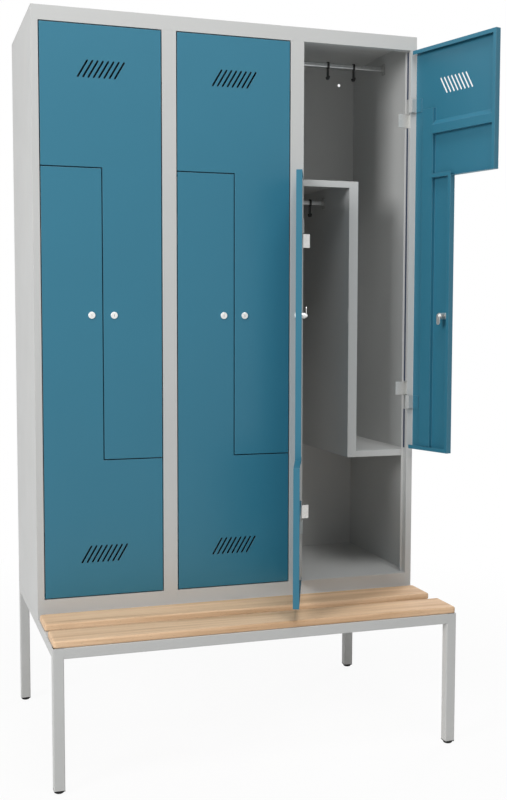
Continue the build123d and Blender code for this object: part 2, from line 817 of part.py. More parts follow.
# Cabinet bolts: heads under the tubes, nuts on the lips of the floor pans
with BuildPart() as cabinet_bolts:
    nut_z = bottom_z + sheet
    with BuildSketch(Plane.XY.offset(tube_bottom_z - bolt_head_height)):
        with Locations(*all_bolt_points):
            RegularPolygon(bolt_head_radius, 6)
    extrude(amount=bolt_head_height)
    upright_cylinders(all_bolt_points, bolt_radius, tube_bottom_z, nut_z + bolt_nut_height + bolt_end)
    with BuildSketch(Plane.XY.offset(nut_z)):
        with Locations(*all_bolt_points):
            RegularPolygon(bolt_head_radius, 6)
    extrude(amount=bolt_nut_height)
save(cabinet_bolts.part, "cabinet_bolts")
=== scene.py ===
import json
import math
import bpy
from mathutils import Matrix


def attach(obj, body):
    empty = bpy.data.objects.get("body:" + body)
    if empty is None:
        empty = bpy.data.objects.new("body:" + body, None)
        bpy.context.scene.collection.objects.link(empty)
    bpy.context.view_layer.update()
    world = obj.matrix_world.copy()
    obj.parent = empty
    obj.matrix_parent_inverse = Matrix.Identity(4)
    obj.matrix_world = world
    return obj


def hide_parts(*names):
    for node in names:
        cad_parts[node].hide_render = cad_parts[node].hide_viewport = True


bl_info = {
    "name": "Bench locker finishes",
    "version": (1, 0, 0),
    "blender": (4, 5, 0),
    "location": "View3D > Sidebar > Bench locker",
    "description": "Finishes, small pieces and stage of a three-bay locker on a bench frame",
    "category": "Object",
}

import bmesh
import bpy
from bpy.props import FloatProperty, FloatVectorProperty, IntProperty, PointerProperty
from mathutils import Matrix, Vector

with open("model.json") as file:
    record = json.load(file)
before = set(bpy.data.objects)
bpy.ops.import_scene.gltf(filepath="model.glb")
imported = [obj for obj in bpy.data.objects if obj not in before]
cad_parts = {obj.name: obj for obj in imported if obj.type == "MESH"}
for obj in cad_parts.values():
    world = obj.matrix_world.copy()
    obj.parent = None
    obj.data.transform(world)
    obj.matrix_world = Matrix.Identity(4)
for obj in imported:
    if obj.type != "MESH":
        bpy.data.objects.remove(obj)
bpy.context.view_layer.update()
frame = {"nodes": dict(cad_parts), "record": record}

DOOR_NUMBERS = (1, 2, 3)
DOOR_KINDS = ("upper", "lower")
HOOK_KINDS = ("upper_hook_a", "upper_hook_b", "lower_hook")
CABINET = "cabinet"
NODE_SLOTS = {part["node"]: part["material_slot"] for part in frame["record"]["subparts"]}
JOINTS = {joint["name"]: joint for joint in frame["record"]["behaviour"]["joints"]}

# Places in the model, in metres
BAY_CENTRES = (-0.401, 0.0, 0.401)
HALF_OPENING = 0.179
FACE_Y = -0.095
SEAL_Y = FACE_Y + 0.019
RAIL_Y = 0.150
DOOR_SPANS = {"upper": (0.8635, 2.1150), "lower": (0.4590, 1.7105)}
HINGE_LEVELS = {"upper": (1.925, 1.034), "lower": (0.649, 1.540)}
HINGE_WINDOW_HALF = 0.045
RAIL_ENDS = {
    2.1110: ((-0.599, -0.201), (-0.200, 0.200), (0.201, 0.599)),
    1.6605: ((-0.599, -0.416), (-0.200, -0.015), (0.201, 0.386)),
}
LEG_X = 0.570
LEG_Y = 0.375
RAIL_TOP = 0.400
TUBE = 0.030

# A door's own place has its origin on the hinge axis. There the hinge arms lie
# beyond ARM_SIDE, behind ARM_FRONT, and in spans of height as (middle, half).
ARM_SIDE = -0.0156
ARM_FRONT = -0.0059
ARM_SPANS = ((0.6595, 0.0212), (-0.2745, 0.0212))

# A weld closes the seam between a leg and a rail: its depth into the tube, its
# length up the flat side, and how far its middle lies from the leg's inner side
SEAM_DEPTH = 0.0024
SEAM_LENGTH = 0.0252
SEAM_INSET = 0.0012

# Rounding, cleaning and smoothing of the added pieces
WELD_ROUNDING = 0.0006
SEAL_ROUNDING = 0.0002
ROUNDING_STEPS = 2
MERGE_DISTANCE = 1e-6
FLAT_ANGLE = math.radians(1.0)
HOOK_EDGE_ANGLE = math.radians(35.0)
HOOK_SMOOTH_ANGLE = math.radians(40.0)
PIECE_SMOOTH_ANGLE = math.radians(60.0)
MOST_CORNERS = 4
SCREW_STEPS_ROUND = 20
SCREW_STEPS_UP = 12

# Where each slat is cut from the wood, and how much the lacquer shines
SLAT_SHIFTS = {"slat_front": (5.2, 0.61, 0.2), "slat_rear": (3.1, 0.9, 0.3)}
SLAT_GLOSS = 0.22

# The stage: lamps, floor, and the camera's sensor and clipping
WHITE = (1.0, 1.0, 1.0, 1.0)
LAMPS = ("key", "back", "top")
LAMP_AIM = Vector((0.0, 0.0, 1.1))
FLOOR_RADIUS = 40.0
FLOOR_STEPS = 96
FLOOR_DROP = 0.0005
VEIL_SPAN = (0.9, 2.6)
SENSOR_WIDTH = 36.0
CLIP_START = 0.05
CLIP_END = 200.0

# What every surface effect puts out, and the shader's socket that takes it
EFFECT_OUTPUTS = [("Colour", "Color"), ("Roughness", "Float"), ("Normal", "Vector")]
SHADER_SOCKETS = {"Colour": "Base Color", "Roughness": "Roughness", "Normal": "Normal"}

# Soft edges: rays for each, and how alike the rounded and the flat normal are
# where an edge begins and where it is full
BEVEL_SAMPLES = 4
EDGE_SPAN = (0.985, 0.80)

# Share of painted highlight on the powder coats' edges, and the dust on plastic
CABINET_EDGE_HIGHLIGHT = 0.5
DOOR_EDGE_HIGHLIGHT = 0.35
DUST = (0.5, 0.5, 0.5, 1.0)

# A change to both sides of nought, and the colour sockets of a mix node
SWING = (-1.0, 1.0)
MIX_SHARE, MIX_FIRST, MIX_SECOND, MIX_RESULT = 0, 6, 7, 2


def colour_value(name, description, default):
    """A colour that a user may change."""
    return FloatVectorProperty(
        name=name, description=description, subtype="COLOR",
        size=3, min=0.0, max=1.0, default=default,
    )


def length_value(name, description, default):
    """A length in metres that a user may change."""
    return FloatProperty(
        name=name, description=description, unit="LENGTH", min=0.0, default=default
    )


def share_value(name, description, default):
    """A share from nothing to all that a user may change."""
    return FloatProperty(
        name=name, description=description, subtype="FACTOR", min=0.0, max=1.0, default=default
    )


def power_value(name, description, default):
    """The power of a lamp in watts that a user may change."""
    return FloatProperty(
        name=name, description=description, subtype="POWER", min=0.0, default=default
    )


def angle_value(name, description, degrees):
    """An angle that a user may change, given in degrees."""
    return FloatProperty(
        name=name, description=description, subtype="ANGLE", default=math.radians(degrees)
    )


def place_value(name, description, default):
    """A place in metres that a user may change."""
    return FloatVectorProperty(
        name=name, description=description, subtype="TRANSLATION", unit="LENGTH",
        size=3, default=default,
    )


class LockerFinishes(bpy.types.PropertyGroup):
    """Colours and surface values of the locker's finishes."""

    door_paint: colour_value("Door paint", "Powder coat of the six doors", (0.030, 0.184, 0.276))
    cabinet_paint: colour_value(
        "Cabinet paint", "Powder coat of the cabinet's sheets", (0.60, 0.605, 0.595)
    )
    frame_paint: colour_value("Frame paint", "Powder coat of the tube frame", (0.60, 0.605, 0.595))
    paint_roughness: share_value("Paint roughness", "Roughness of the powder coats", 0.42)
    paint_mottle: share_value("Paint mottle", "Slow change of brightness over the paint", 0.018)
    peel_height: share_value("Orange peel", "Strength of the powder coat's fine waves", 0.10)
    beech_light: colour_value(
        "Beech, light", "Pale wood between the grain lines", (0.930, 0.650, 0.420)
    )
    beech_dark: colour_value("Beech, dark", "Darker wood in the grain lines", (0.590, 0.355, 0.190))
    beech_fleck: colour_value("Beech, flecks", "Short dark rays of beech", (0.360, 0.190, 0.095))
    zinc_colour: colour_value("Zinc", "Zinc plate on hinges and screws", (0.64, 0.64, 0.625))
    rail_colour: colour_value("Rail steel", "Galvanised coat rails", (0.58, 0.59, 0.59))
    lock_colour: colour_value("Lock nickel", "Plated locks and cams", (0.82, 0.82, 0.80))
    bracket_colour: colour_value(
        "Bracket plastic", "Moulded brackets of the coat rails", (0.42, 0.42, 0.41)
    )
    hook_colour: colour_value("Hook plastic", "Black moulded coat hooks", (0.018, 0.018, 0.018))
    foot_colour: colour_value("Foot plastic", "Black moulded feet", (0.014, 0.014, 0.014))
    arm_paint: colour_value(
        "Hinge arm paint", "Paint of the hinge arms on the doors", (0.56, 0.57, 0.56)
    )
    # Painted shade: the seals are navy-black to stand in for the shade inside the posts' slots
    seal_shade_colour: colour_value(
        "Seal plastic", "Dark strips over the posts' slots", (0.020, 0.034, 0.075)
    )


class LockerSizes(bpy.types.PropertyGroup):
    """Sizes of the small pieces that are added to the model."""

    hook_round: length_value("Hook rounding", "Rounding of the coat hooks' edges", 0.0012)
    hook_segments: IntProperty(
        name="Hook segments", description="Steps in the rounding", min=1, max=6, default=3
    )
    weld_width: length_value("Weld width", "Width of the frame's corner welds", 0.0034)
    weld_proud: length_value("Weld height", "How far a weld stands out", 0.0001)
    seal_thickness: length_value("Seal thickness", "Strips over the slots of the posts", 0.0010)
    seal_depth: length_value("Seal depth", "Width of the strips from front to back", 0.0095)
    screw_head_radius: length_value("Screw head radius", "Heads of the bracket screws", 0.0032)
    screw_head_height: length_value("Screw head height", "Dome of the bracket screws", 0.0014)
    screw_spacing: length_value("Screw spacing", "Distance between a bracket's two screws", 0.0270)
    bracket_plate: length_value("Bracket plate", "Thickness of the brackets' plates", 0.002)


class LockerStage(bpy.types.PropertyGroup):
    """Camera, light and floor."""

    camera_place: place_value("Camera place", "Where the camera stands", (-0.9918, -3.3221, 1.2785))
    camera_yaw: angle_value("Camera yaw", "Turn to the right of straight ahead", 18.0779)
    camera_pitch: angle_value("Camera pitch", "Tilt below the horizon", 4.1995)
    camera_roll: angle_value("Camera roll", "Roll about the line of sight", 0.1017)
    camera_lens: FloatProperty(
        name="Camera lens", description="Focal length in millimetres on a 36 mm sensor",
        min=1.0, default=49.96,
    )
    sky_strength: FloatProperty(
        name="Sky", description="Light from all round", min=0.0, default=0.165
    )
    key_power: power_value("Key lamp", "Lamp in front on the left", 165.0)
    key_place: place_value("Key place", "Where the key lamp hangs", (-4.6, -2.95, 3.0))
    back_power: power_value("Back lamp", "Lamp behind on the right", 105.0)
    back_place: place_value("Back place", "Where the back lamp hangs", (4.2, 3.0, 3.0))
    top_power: power_value("Top lamp", "Lamp over the bench", 82.0)
    top_place: place_value("Top place", "Where the top lamp hangs", (0.0, -1.95, 4.9))
    lamp_size: length_value("Lamp size", "Edge of each lamp's square", 1.9)
    floor_colour: colour_value("Floor", "Pale floor", (0.86, 0.86, 0.86))
    floor_veil: share_value(
        "Floor veil", "Share of plain white that the camera sees near the object", 0.94
    )


def feed(tree, socket, value):
    """Give a shader socket a link or a value of its own."""
    if isinstance(value, bpy.types.NodeSocket):
        tree.links.new(value, socket)
    else:
        socket.default_value = value


def add_node(tree, kind, inputs=None, **settings):
    """Add a shader node; inputs gives each socket a value or a link."""
    made = tree.nodes.new(kind)
    for name, value in settings.items():
        setattr(made, name, value)
    for name, value in (inputs or {}).items():
        feed(tree, made.inputs[name], value)
    return made


def new_group(name, inputs, outputs):
    """Start a shader node group; returns it with its input and output sockets."""
    group = bpy.data.node_groups.new(name, "ShaderNodeTree")
    for direction, sockets in (("INPUT", inputs), ("OUTPUT", outputs)):
        for label, kind in sockets:
            group.interface.new_socket(
                name=label, in_out=direction, socket_type="NodeSocket" + kind
            )
    given = group.nodes.new("NodeGroupInput").outputs
    put = group.nodes.new("NodeGroupOutput").inputs
    return group, given, put


def noise(tree, place, scale=1.0, detail=2.0, roughness=0.5, distortion=0.0):
    """Noise between nought and one over a place."""
    values = {
        "Vector": place,
        "Scale": scale,
        "Detail": detail,
        "Roughness": roughness,
        "Distortion": distortion,
    }
    return add_node(tree, "ShaderNodeTexNoise", values).outputs["Fac"]


def stretched(tree, place, along, across):
    """A place scaled along the grain, which runs along X, and across it."""
    values = {"Vector": place, "Scale": (along, across, across)}
    return add_node(tree, "ShaderNodeMapping", values).outputs["Vector"]


def mapped(tree, value, span, new_span=(0.0, 1.0)):
    """A value carried from one span to another and held inside it."""
    low, high = span
    new_low, new_high = new_span
    values = {
        "Value": value,
        "From Min": low,
        "From Max": high,
        "To Min": new_low,
        "To Max": new_high,
    }
    return add_node(tree, "ShaderNodeMapRange", values).outputs["Result"]


def arithmetic(tree, operation, *values):
    """One sum, product or comparison of values."""
    made = add_node(tree, "ShaderNodeMath", operation=operation)
    for socket, value in zip(made.inputs, values):
        feed(tree, socket, value)
    return made.outputs[0]


def vector_arithmetic(tree, operation, *places):
    """One sum, product or length of vectors; returns the node's outputs."""
    made = add_node(tree, "ShaderNodeVectorMath", operation=operation)
    for socket, place in zip(made.inputs, places):
        tree.links.new(place, socket)
    return made.outputs


def blended(tree, share, first, second, blend_type="MIX"):
    """A share of the second colour blended over the first."""
    made = add_node(tree, "ShaderNodeMix", data_type="RGBA", blend_type=blend_type)
    for index, value in ((MIX_SHARE, share), (MIX_FIRST, first), (MIX_SECOND, second)):
        feed(tree, made.inputs[index], value)
    return made.outputs[MIX_RESULT]


def own_place(tree):
    """The surface's place in the object's own coordinates."""
    return add_node(tree, "ShaderNodeTexCoord").outputs["Object"]


def soft_edges(tree, radius):
    """Rounded normal near edges, and a mask that is one on the edges."""
    values = {"Radius": radius}
    rounded = add_node(tree, "ShaderNodeBevel", values, samples=BEVEL_SAMPLES).outputs["Normal"]
    flat = add_node(tree, "ShaderNodeNewGeometry").outputs["True Normal"]
    likeness = vector_arithmetic(tree, "DOT_PRODUCT", rounded, flat)["Value"]
    return rounded, mapped(tree, likeness, EDGE_SPAN)


def bump(tree, height, strength, distance, normal):
    """Normal raised by a height."""
    values = {"Height": height, "Strength": strength, "Distance": distance, "Normal": normal}
    return add_node(tree, "ShaderNodeBump", values).outputs["Normal"]


def varied(tree, colour, swing, amount):
    """A colour made darker and lighter by an amount of a swing."""
    shade = arithmetic(tree, "ADD", arithmetic(tree, "MULTIPLY", swing, amount), 1.0)
    return blended(tree, 1.0, colour, shade, "MULTIPLY")


def powder_coat_group():
    """Powder coat: slow mottle, fine orange peel, and edges lightened as a painted highlight."""
    group, given, put = new_group(
        "Powder coat",
        [
            ("Paint", "Color"),
            ("Mottle", "Float"),
            ("Peel", "Float"),
            ("Edge", "Float"),
            ("Roughness", "Float"),
        ],
        EFFECT_OUTPUTS,
    )
    place = own_place(group)
    rounded, edge = soft_edges(group, radius=0.0012)
    cloud = mapped(group, noise(group, place, scale=2.6, detail=3.0), (0.3, 0.7), SWING)
    coat = varied(group, given["Paint"], cloud, given["Mottle"])
    # Painted highlight: on the edges the paint is screened towards white
    edge_highlight_paint = blended(group, 0.35, coat, WHITE, "SCREEN")
    edge_highlight_share = arithmetic(group, "MULTIPLY", edge, given["Edge"])
    group.links.new(blended(group, edge_highlight_share, coat, edge_highlight_paint), put["Colour"])
    fine = noise(group, place, scale=620.0, detail=1.0)
    coarse = noise(group, place, scale=190.0, detail=1.0)
    peel = arithmetic(group, "ADD", fine, coarse)
    normal = bump(group, peel, strength=given["Peel"], distance=0.0004, normal=rounded)
    group.links.new(normal, put["Normal"])
    patches = noise(group, place, scale=9.0, detail=4.0)
    sheen = mapped(group, patches, (0.3, 0.7), (-0.035, 0.035))
    group.links.new(arithmetic(group, "ADD", given["Roughness"], sheen), put["Roughness"])
    return group


def beech_group():
    """Beech: long grain along X, fine pores and short dark rays."""
    group, given, put = new_group(
        "Beech grain",
        [("Light", "Color"), ("Dark", "Color"), ("Fleck", "Color"), ("Shift", "Vector")],
        EFFECT_OUTPUTS,
    )
    place = vector_arithmetic(group, "ADD", own_place(group), given["Shift"])["Vector"]
    bands = noise(
        group, stretched(group, place, along=1.3, across=34.0),
        detail=3.0, roughness=0.55, distortion=0.6,
    )
    lines = noise(
        group, stretched(group, place, along=3.0, across=130.0),
        detail=4.0, roughness=0.6, distortion=0.3,
    )
    pores = noise(group, stretched(group, place, along=16.0, across=900.0), detail=2.0)
    rays = noise(group, stretched(group, place, along=110.0, across=700.0), detail=1.0)
    tone = noise(group, stretched(group, place, along=0.6, across=3.0), detail=1.0)
    grain = arithmetic(
        group, "ADD",
        mapped(group, bands, (0.46, 0.66), (0.0, 0.56)),
        mapped(group, lines, (0.46, 0.68), (0.0, 0.38)),
    )
    wood = blended(group, grain, given["Light"], given["Dark"])
    wood = blended(group, mapped(group, tone, (0.35, 0.65), (0.0, 0.16)), wood, given["Dark"])
    wood = blended(group, mapped(group, pores, (0.55, 0.75), (0.0, 0.12)), wood, given["Fleck"])
    flecks = mapped(group, rays, (0.69, 0.74), (0.0, 0.45))
    group.links.new(blended(group, flecks, wood, given["Fleck"]), put["Colour"])
    rounded = soft_edges(group, radius=0.001)[0]
    height = arithmetic(group, "ADD", lines, pores)
    normal = bump(group, height, strength=0.10, distance=0.0004, normal=rounded)
    group.links.new(normal, put["Normal"])
    group.links.new(mapped(group, lines, (0.3, 0.7), (0.48, 0.60)), put["Roughness"])
    return group


def plated_group():
    """Plated metal: faint crystals, brushed lines along X, and edges lighter in colour and less
    rough.
    """
    group, given, put = new_group(
        "Plated metal",
        [
            ("Metal", "Color"),
            ("Crystal Size", "Float"),
            ("Crystals", "Float"),
            ("Roughness", "Float"),
        ],
        EFFECT_OUTPUTS,
    )
    place = own_place(group)
    rounded, edge = soft_edges(group, radius=0.0006)
    values = {"Vector": place, "Scale": given["Crystal Size"]}
    cells = add_node(group, "ShaderNodeTexVoronoi", values).outputs["Color"]
    crystals = mapped(group, cells, (0.0, 1.0), SWING)
    metal = varied(group, given["Metal"], crystals, given["Crystals"])
    # Edges are lightened a quarter of the way towards white
    bright = blended(group, 0.25, metal, WHITE)
    group.links.new(blended(group, edge, metal, bright), put["Colour"])
    brushed = noise(group, stretched(group, place, along=40.0, across=1500.0), detail=2.0)
    normal = bump(group, brushed, strength=0.05, distance=0.0002, normal=rounded)
    group.links.new(normal, put["Normal"])
    scratched = mapped(group, brushed, (0.3, 0.7), (-0.04, 0.08))
    worn = arithmetic(group, "ADD", given["Roughness"], scratched)
    rubbed = arithmetic(group, "MULTIPLY", edge, 0.05)
    group.links.new(arithmetic(group, "SUBTRACT", worn, rubbed), put["Roughness"])
    return group


def plastic_group():
    """Moulded plastic: fine spark texture with slightly greyed edges."""
    group, given, put = new_group(
        "Moulded plastic",
        [("Plastic", "Color"), ("Grain Height", "Float"), ("Roughness", "Float")],
        EFFECT_OUTPUTS,
    )
    place = own_place(group)
    rounded, edge = soft_edges(group, radius=0.0008)
    dusty = blended(group, 0.06, given["Plastic"], DUST)
    cloud = mapped(group, noise(group, place, scale=60.0, detail=3.0), (0.4, 0.7))
    share = arithmetic(group, "MAXIMUM", edge, arithmetic(group, "MULTIPLY", cloud, 0.5))
    group.links.new(blended(group, share, given["Plastic"], dusty), put["Colour"])
    spark = noise(group, place, scale=1400.0, detail=2.0)
    normal = bump(group, spark, strength=given["Grain Height"], distance=0.0003, normal=rounded)
    group.links.new(normal, put["Normal"])
    matt = mapped(group, cloud, (0.0, 1.0), (-0.03, 0.05))
    group.links.new(arithmetic(group, "ADD", given["Roughness"], matt), put["Roughness"])
    return group


def hinge_arm_group():
    """One on the bent hinge arms of a door, nought elsewhere, by the door's own place."""
    group, given, put = new_group("Hinge arms", [("Door Place", "Vector")], [("Mask", "Float")])
    axes = add_node(group, "ShaderNodeSeparateXYZ", {"Vector": given["Door Place"]}).outputs
    beyond = arithmetic(group, "GREATER_THAN", axes["X"], ARM_SIDE)
    behind = arithmetic(group, "GREATER_THAN", axes["Y"], ARM_FRONT)
    mask = arithmetic(group, "MULTIPLY", beyond, behind)
    spans = None
    for middle, half in ARM_SPANS:
        away = arithmetic(group, "ABSOLUTE", arithmetic(group, "SUBTRACT", axes["Z"], middle))
        near = arithmetic(group, "LESS_THAN", away, half)
        spans = near if spans is None else arithmetic(group, "MAXIMUM", spans, near)
    group.links.new(arithmetic(group, "MULTIPLY", mask, spans), put["Mask"])
    return group


GROUP_MAKERS = {
    "Powder coat": powder_coat_group,
    "Beech grain": beech_group,
    "Plated metal": plated_group,
    "Moulded plastic": plastic_group,
    "Hinge arms": hinge_arm_group,
}


def add_effect(tree, name):
    """Add a shared effect to a tree; the effect is built once."""
    group = bpy.data.node_groups.get(name) or GROUP_MAKERS[name]()
    made = tree.nodes.new("ShaderNodeGroup")
    made.node_tree = group
    return made


def surface(name, effect_name, values, **sockets):
    """A material made of one shared effect and one shader; built once."""
    found = bpy.data.materials.get(name)
    if found:
        return found
    material = bpy.data.materials.new(name)
    material.use_nodes = True
    tree = material.node_tree
    shader = tree.nodes["Principled BSDF"]
    effect = add_effect(tree, effect_name)
    for label, value in values.items():
        effect.inputs[label].default_value = value
    for output, socket in SHADER_SOCKETS.items():
        tree.links.new(effect.outputs[output], shader.inputs[socket])
    for label, value in sockets.items():
        shader.inputs[label.replace("_", " ")].default_value = value
    return material


def opaque(colour):
    """A user's colour with full alpha."""
    return (*colour, 1.0)


def paint(name, colour, edge, finishes):
    """A powder coat in one colour; edge is the share of painted highlight on its edges."""
    return surface(
        name, "Powder coat",
        {
            "Paint": opaque(colour),
            "Mottle": finishes.paint_mottle,
            "Peel": finishes.peel_height,
            "Edge": edge,
            "Roughness": finishes.paint_roughness,
        },
    )


def dress(slot_name, material):
    """Give a material to every frame node of one slot."""
    for node, slot in NODE_SLOTS.items():
        if slot == slot_name:
            dress_node(node, material)


def dress_node(node, material):
    """Give a material to one frame node."""
    target = frame["nodes"][node]
    if not target.material_slots:
        target.data.materials.append(material)
    for slot in target.material_slots:
        slot.material = material


def object_from(shape, name):
    """Turn a bmesh into an object of the scene."""
    mesh = bpy.data.meshes.new(name)
    shape.to_mesh(mesh)
    shape.free()
    made = bpy.data.objects.new(name, mesh)
    bpy.context.scene.collection.objects.link(made)
    return made


def piece_from(shape, name, body, material):
    """Finish a bmesh as a named piece that rides on a body."""
    piece = object_from(shape, name)
    piece.data.materials.append(material)
    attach(piece, body)
    return piece


def add_block(shape, middle, size):
    """Add a block by its middle and size to a bmesh."""
    matrix = Matrix.Translation(middle) @ Matrix.Diagonal((*size, 1.0))
    bmesh.ops.create_cube(shape, size=1.0, matrix=matrix)


def round_edges(shape, edges, rounding, steps):
    """Round some edges of a bmesh."""
    bmesh.ops.bevel(
        shape, geom=edges, offset=rounding, segments=steps,
        affect="EDGES", profile=0.5, material=-1, clamp_overlap=True,
    )


def smooth_by_angle(mesh, angle):
    """Smooth faces whose edges are shallower than an angle."""
    mesh.shade_smooth()
    mesh.set_sharp_from_angle(angle=angle)


class LOCKER_OT_paint(bpy.types.Operator):
    """Powder coats the cabinet, the frame and the doors"""

    bl_idname = "locker.paint"
    bl_label = "Paint cabinet, frame and doors"

    def execute(self, context):
        finishes = context.scene.locker_finishes
        cabinet = paint("Cabinet paint", finishes.cabinet_paint, CABINET_EDGE_HIGHLIGHT, finishes)
        dress("carcass_paint", cabinet)
        tubes = paint("Frame paint", finishes.frame_paint, CABINET_EDGE_HIGHLIGHT, finishes)
        dress("frame_paint", tubes)
        for number in DOOR_NUMBERS:
            for kind in DOOR_KINDS:
                node = f"{kind}_door_{number}"
                material = paint("Paint " + node, finishes.door_paint, DOOR_EDGE_HIGHLIGHT, finishes)
                self.add_arms(material, node, kind, finishes.arm_paint)
                dress_node(node, material)
        return {"FINISHED"}

    @staticmethod
    def add_arms(material, node, kind, colour):
        """Paint the hinge arms, found in the door's own place, in a colour of their own."""
        joint = JOINTS[node + "_hinge"]
        upper = kind == "upper"
        opened = math.radians(-joint["range_deg"][0] if upper else joint["range_deg"][1])
        tree = material.node_tree
        place = add_node(
            tree, "ShaderNodeMapping",
            {
                "Vector": own_place(tree),
                "Location": joint["pos_m"],
                "Rotation": (0.0, 0.0, opened) if upper else (0.0, math.pi, -opened),
            },
            vector_type="TEXTURE",
        )
        arms = add_effect(tree, "Hinge arms")
        tree.links.new(place.outputs["Vector"], arms.inputs["Door Place"])
        socket = tree.nodes["Principled BSDF"].inputs["Base Color"]
        painted = socket.links[0].from_socket
        tree.links.new(blended(tree, arms.outputs["Mask"], painted, opaque(colour)), socket)


class LOCKER_OT_slats(bpy.types.Operator):
    """Gives each bench slat its own stretch of beech"""

    bl_idname = "locker.slats"
    bl_label = "Grain the bench slats"

    def execute(self, context):
        finishes = context.scene.locker_finishes
        for node, shift in SLAT_SHIFTS.items():
            material = surface(
                "Beech " + node, "Beech grain",
                {
                    "Light": opaque(finishes.beech_light),
                    "Dark": opaque(finishes.beech_dark),
                    "Fleck": opaque(finishes.beech_fleck),
                    "Shift": shift,
                },
                Specular_IOR_Level=SLAT_GLOSS,
            )
            dress_node(node, material)
        return {"FINISHED"}


class LOCKER_OT_metals(bpy.types.Operator):
    """Plates the hinges, bolts, coat rails and locks"""

    bl_idname = "locker.metals"
    bl_label = "Plate the metal fittings"

    def execute(self, context):
        finishes = context.scene.locker_finishes
        for slot_name, colour, size, crystals, roughness in (
            ("zinc", finishes.zinc_colour, 260.0, 0.05, 0.48),
            ("rail_steel", finishes.rail_colour, 120.0, 0.07, 0.34),
            ("lock_chrome", finishes.lock_colour, 400.0, 0.02, 0.44),
        ):
            material = surface(
                "Plated " + slot_name, "Plated metal",
                {
                    "Metal": opaque(colour),
                    "Crystal Size": size,
                    "Crystals": crystals,
                    "Roughness": roughness,
                },
                Metallic=1.0,
            )
            dress(slot_name, material)
        return {"FINISHED"}


class LOCKER_OT_plastics(bpy.types.Operator):
    """Moulds the rail brackets, feet and coat hooks' plastic"""

    bl_idname = "locker.plastics"
    bl_label = "Mould the plastic fittings"

    def execute(self, context):
        finishes = context.scene.locker_finishes
        for slot_name, colour, height, roughness, gloss in (
            ("bracket_plastic", finishes.bracket_colour, 0.15, 0.5, 0.5),
            ("hook_plastic", finishes.hook_colour, 0.12, 0.42, 0.4),
            ("foot_plastic", finishes.foot_colour, 0.20, 0.6, 0.2),
        ):
            material = surface(
                "Moulded " + slot_name, "Moulded plastic",
                {"Plastic": opaque(colour), "Grain Height": height, "Roughness": roughness},
                Specular_IOR_Level=gloss,
            )
            dress(slot_name, material)
        return {"FINISHED"}


class LOCKER_OT_hooks(bpy.types.Operator):
    """Replaces each square-edged coat hook by a rounded one"""

    bl_idname = "locker.hooks"
    bl_label = "Round the coat hooks"

    def execute(self, context):
        sizes = context.scene.locker_sizes
        material = bpy.data.materials["Moulded hook_plastic"]
        for number in DOOR_NUMBERS:
            for kind in HOOK_KINDS:
                node = f"{kind}_{number}"
                shape = self.rounded(frame["nodes"][node].data, sizes)
                piece = piece_from(shape, "rounded_" + node, node, material)
                smooth_by_angle(piece.data, HOOK_SMOOTH_ANGLE)
                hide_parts(node)
        return {"FINISHED"}

    @staticmethod
    def rounded(mesh, sizes):
        """A bmesh of a hook with its flat faces joined and its edges rounded."""
        shape = bmesh.new()
        shape.from_mesh(mesh)
        bmesh.ops.remove_doubles(shape, verts=shape.verts, dist=MERGE_DISTANCE)
        bmesh.ops.dissolve_limit(
            shape, angle_limit=FLAT_ANGLE, verts=shape.verts, edges=shape.edges
        )
        sharp = [edge for edge in shape.edges if edge.calc_face_angle(0.0) > HOOK_EDGE_ANGLE]
        round_edges(shape, sharp, sizes.hook_round, sizes.hook_segments)
        wide = [face for face in shape.faces if len(face.verts) > MOST_CORNERS]
        bmesh.ops.triangulate(shape, faces=wide)
        return shape


class LOCKER_OT_seals(bpy.types.Operator):
    """Adds strips over the slots of the posts, coloured navy-black as painted shade for the dark
    inside of the slots
    """

    bl_idname = "locker.seals"
    bl_label = "Add the slot seals"

    def execute(self, context):
        sizes = context.scene.locker_sizes
        finishes = context.scene.locker_finishes
        # Painted shade: the strips take the navy-black of the shaded slots
        material = surface(
            "Moulded seal", "Moulded plastic",
            {"Plastic": opaque(finishes.seal_shade_colour), "Grain Height": 0.1, "Roughness": 0.6},
        )
        shape = bmesh.new()
        for centre in BAY_CENTRES:
            for kind, hand in (("upper", 1.0), ("lower", -1.0)):
                edge = centre + hand * HALF_OPENING
                middle = edge - hand * sizes.seal_thickness / 2
                for low, high in self.spans(kind):
                    add_block(
                        shape, (middle, SEAL_Y, (low + high) / 2),
                        (sizes.seal_thickness, sizes.seal_depth, high - low),
                    )
        round_edges(shape, shape.edges[:], SEAL_ROUNDING, ROUNDING_STEPS)
        piece_from(shape, "slot_seals", CABINET, material)
        return {"FINISHED"}

    @staticmethod
    def spans(kind):
        """Stretches of a door's height between the windows of its hinges."""
        low, high = DOOR_SPANS[kind]
        half = HINGE_WINDOW_HALF
        windows = sorted((level - half, level + half) for level in HINGE_LEVELS[kind])
        edges = [low, *(edge for window in windows for edge in window), high]
        return list(zip(edges[::2], edges[1::2]))


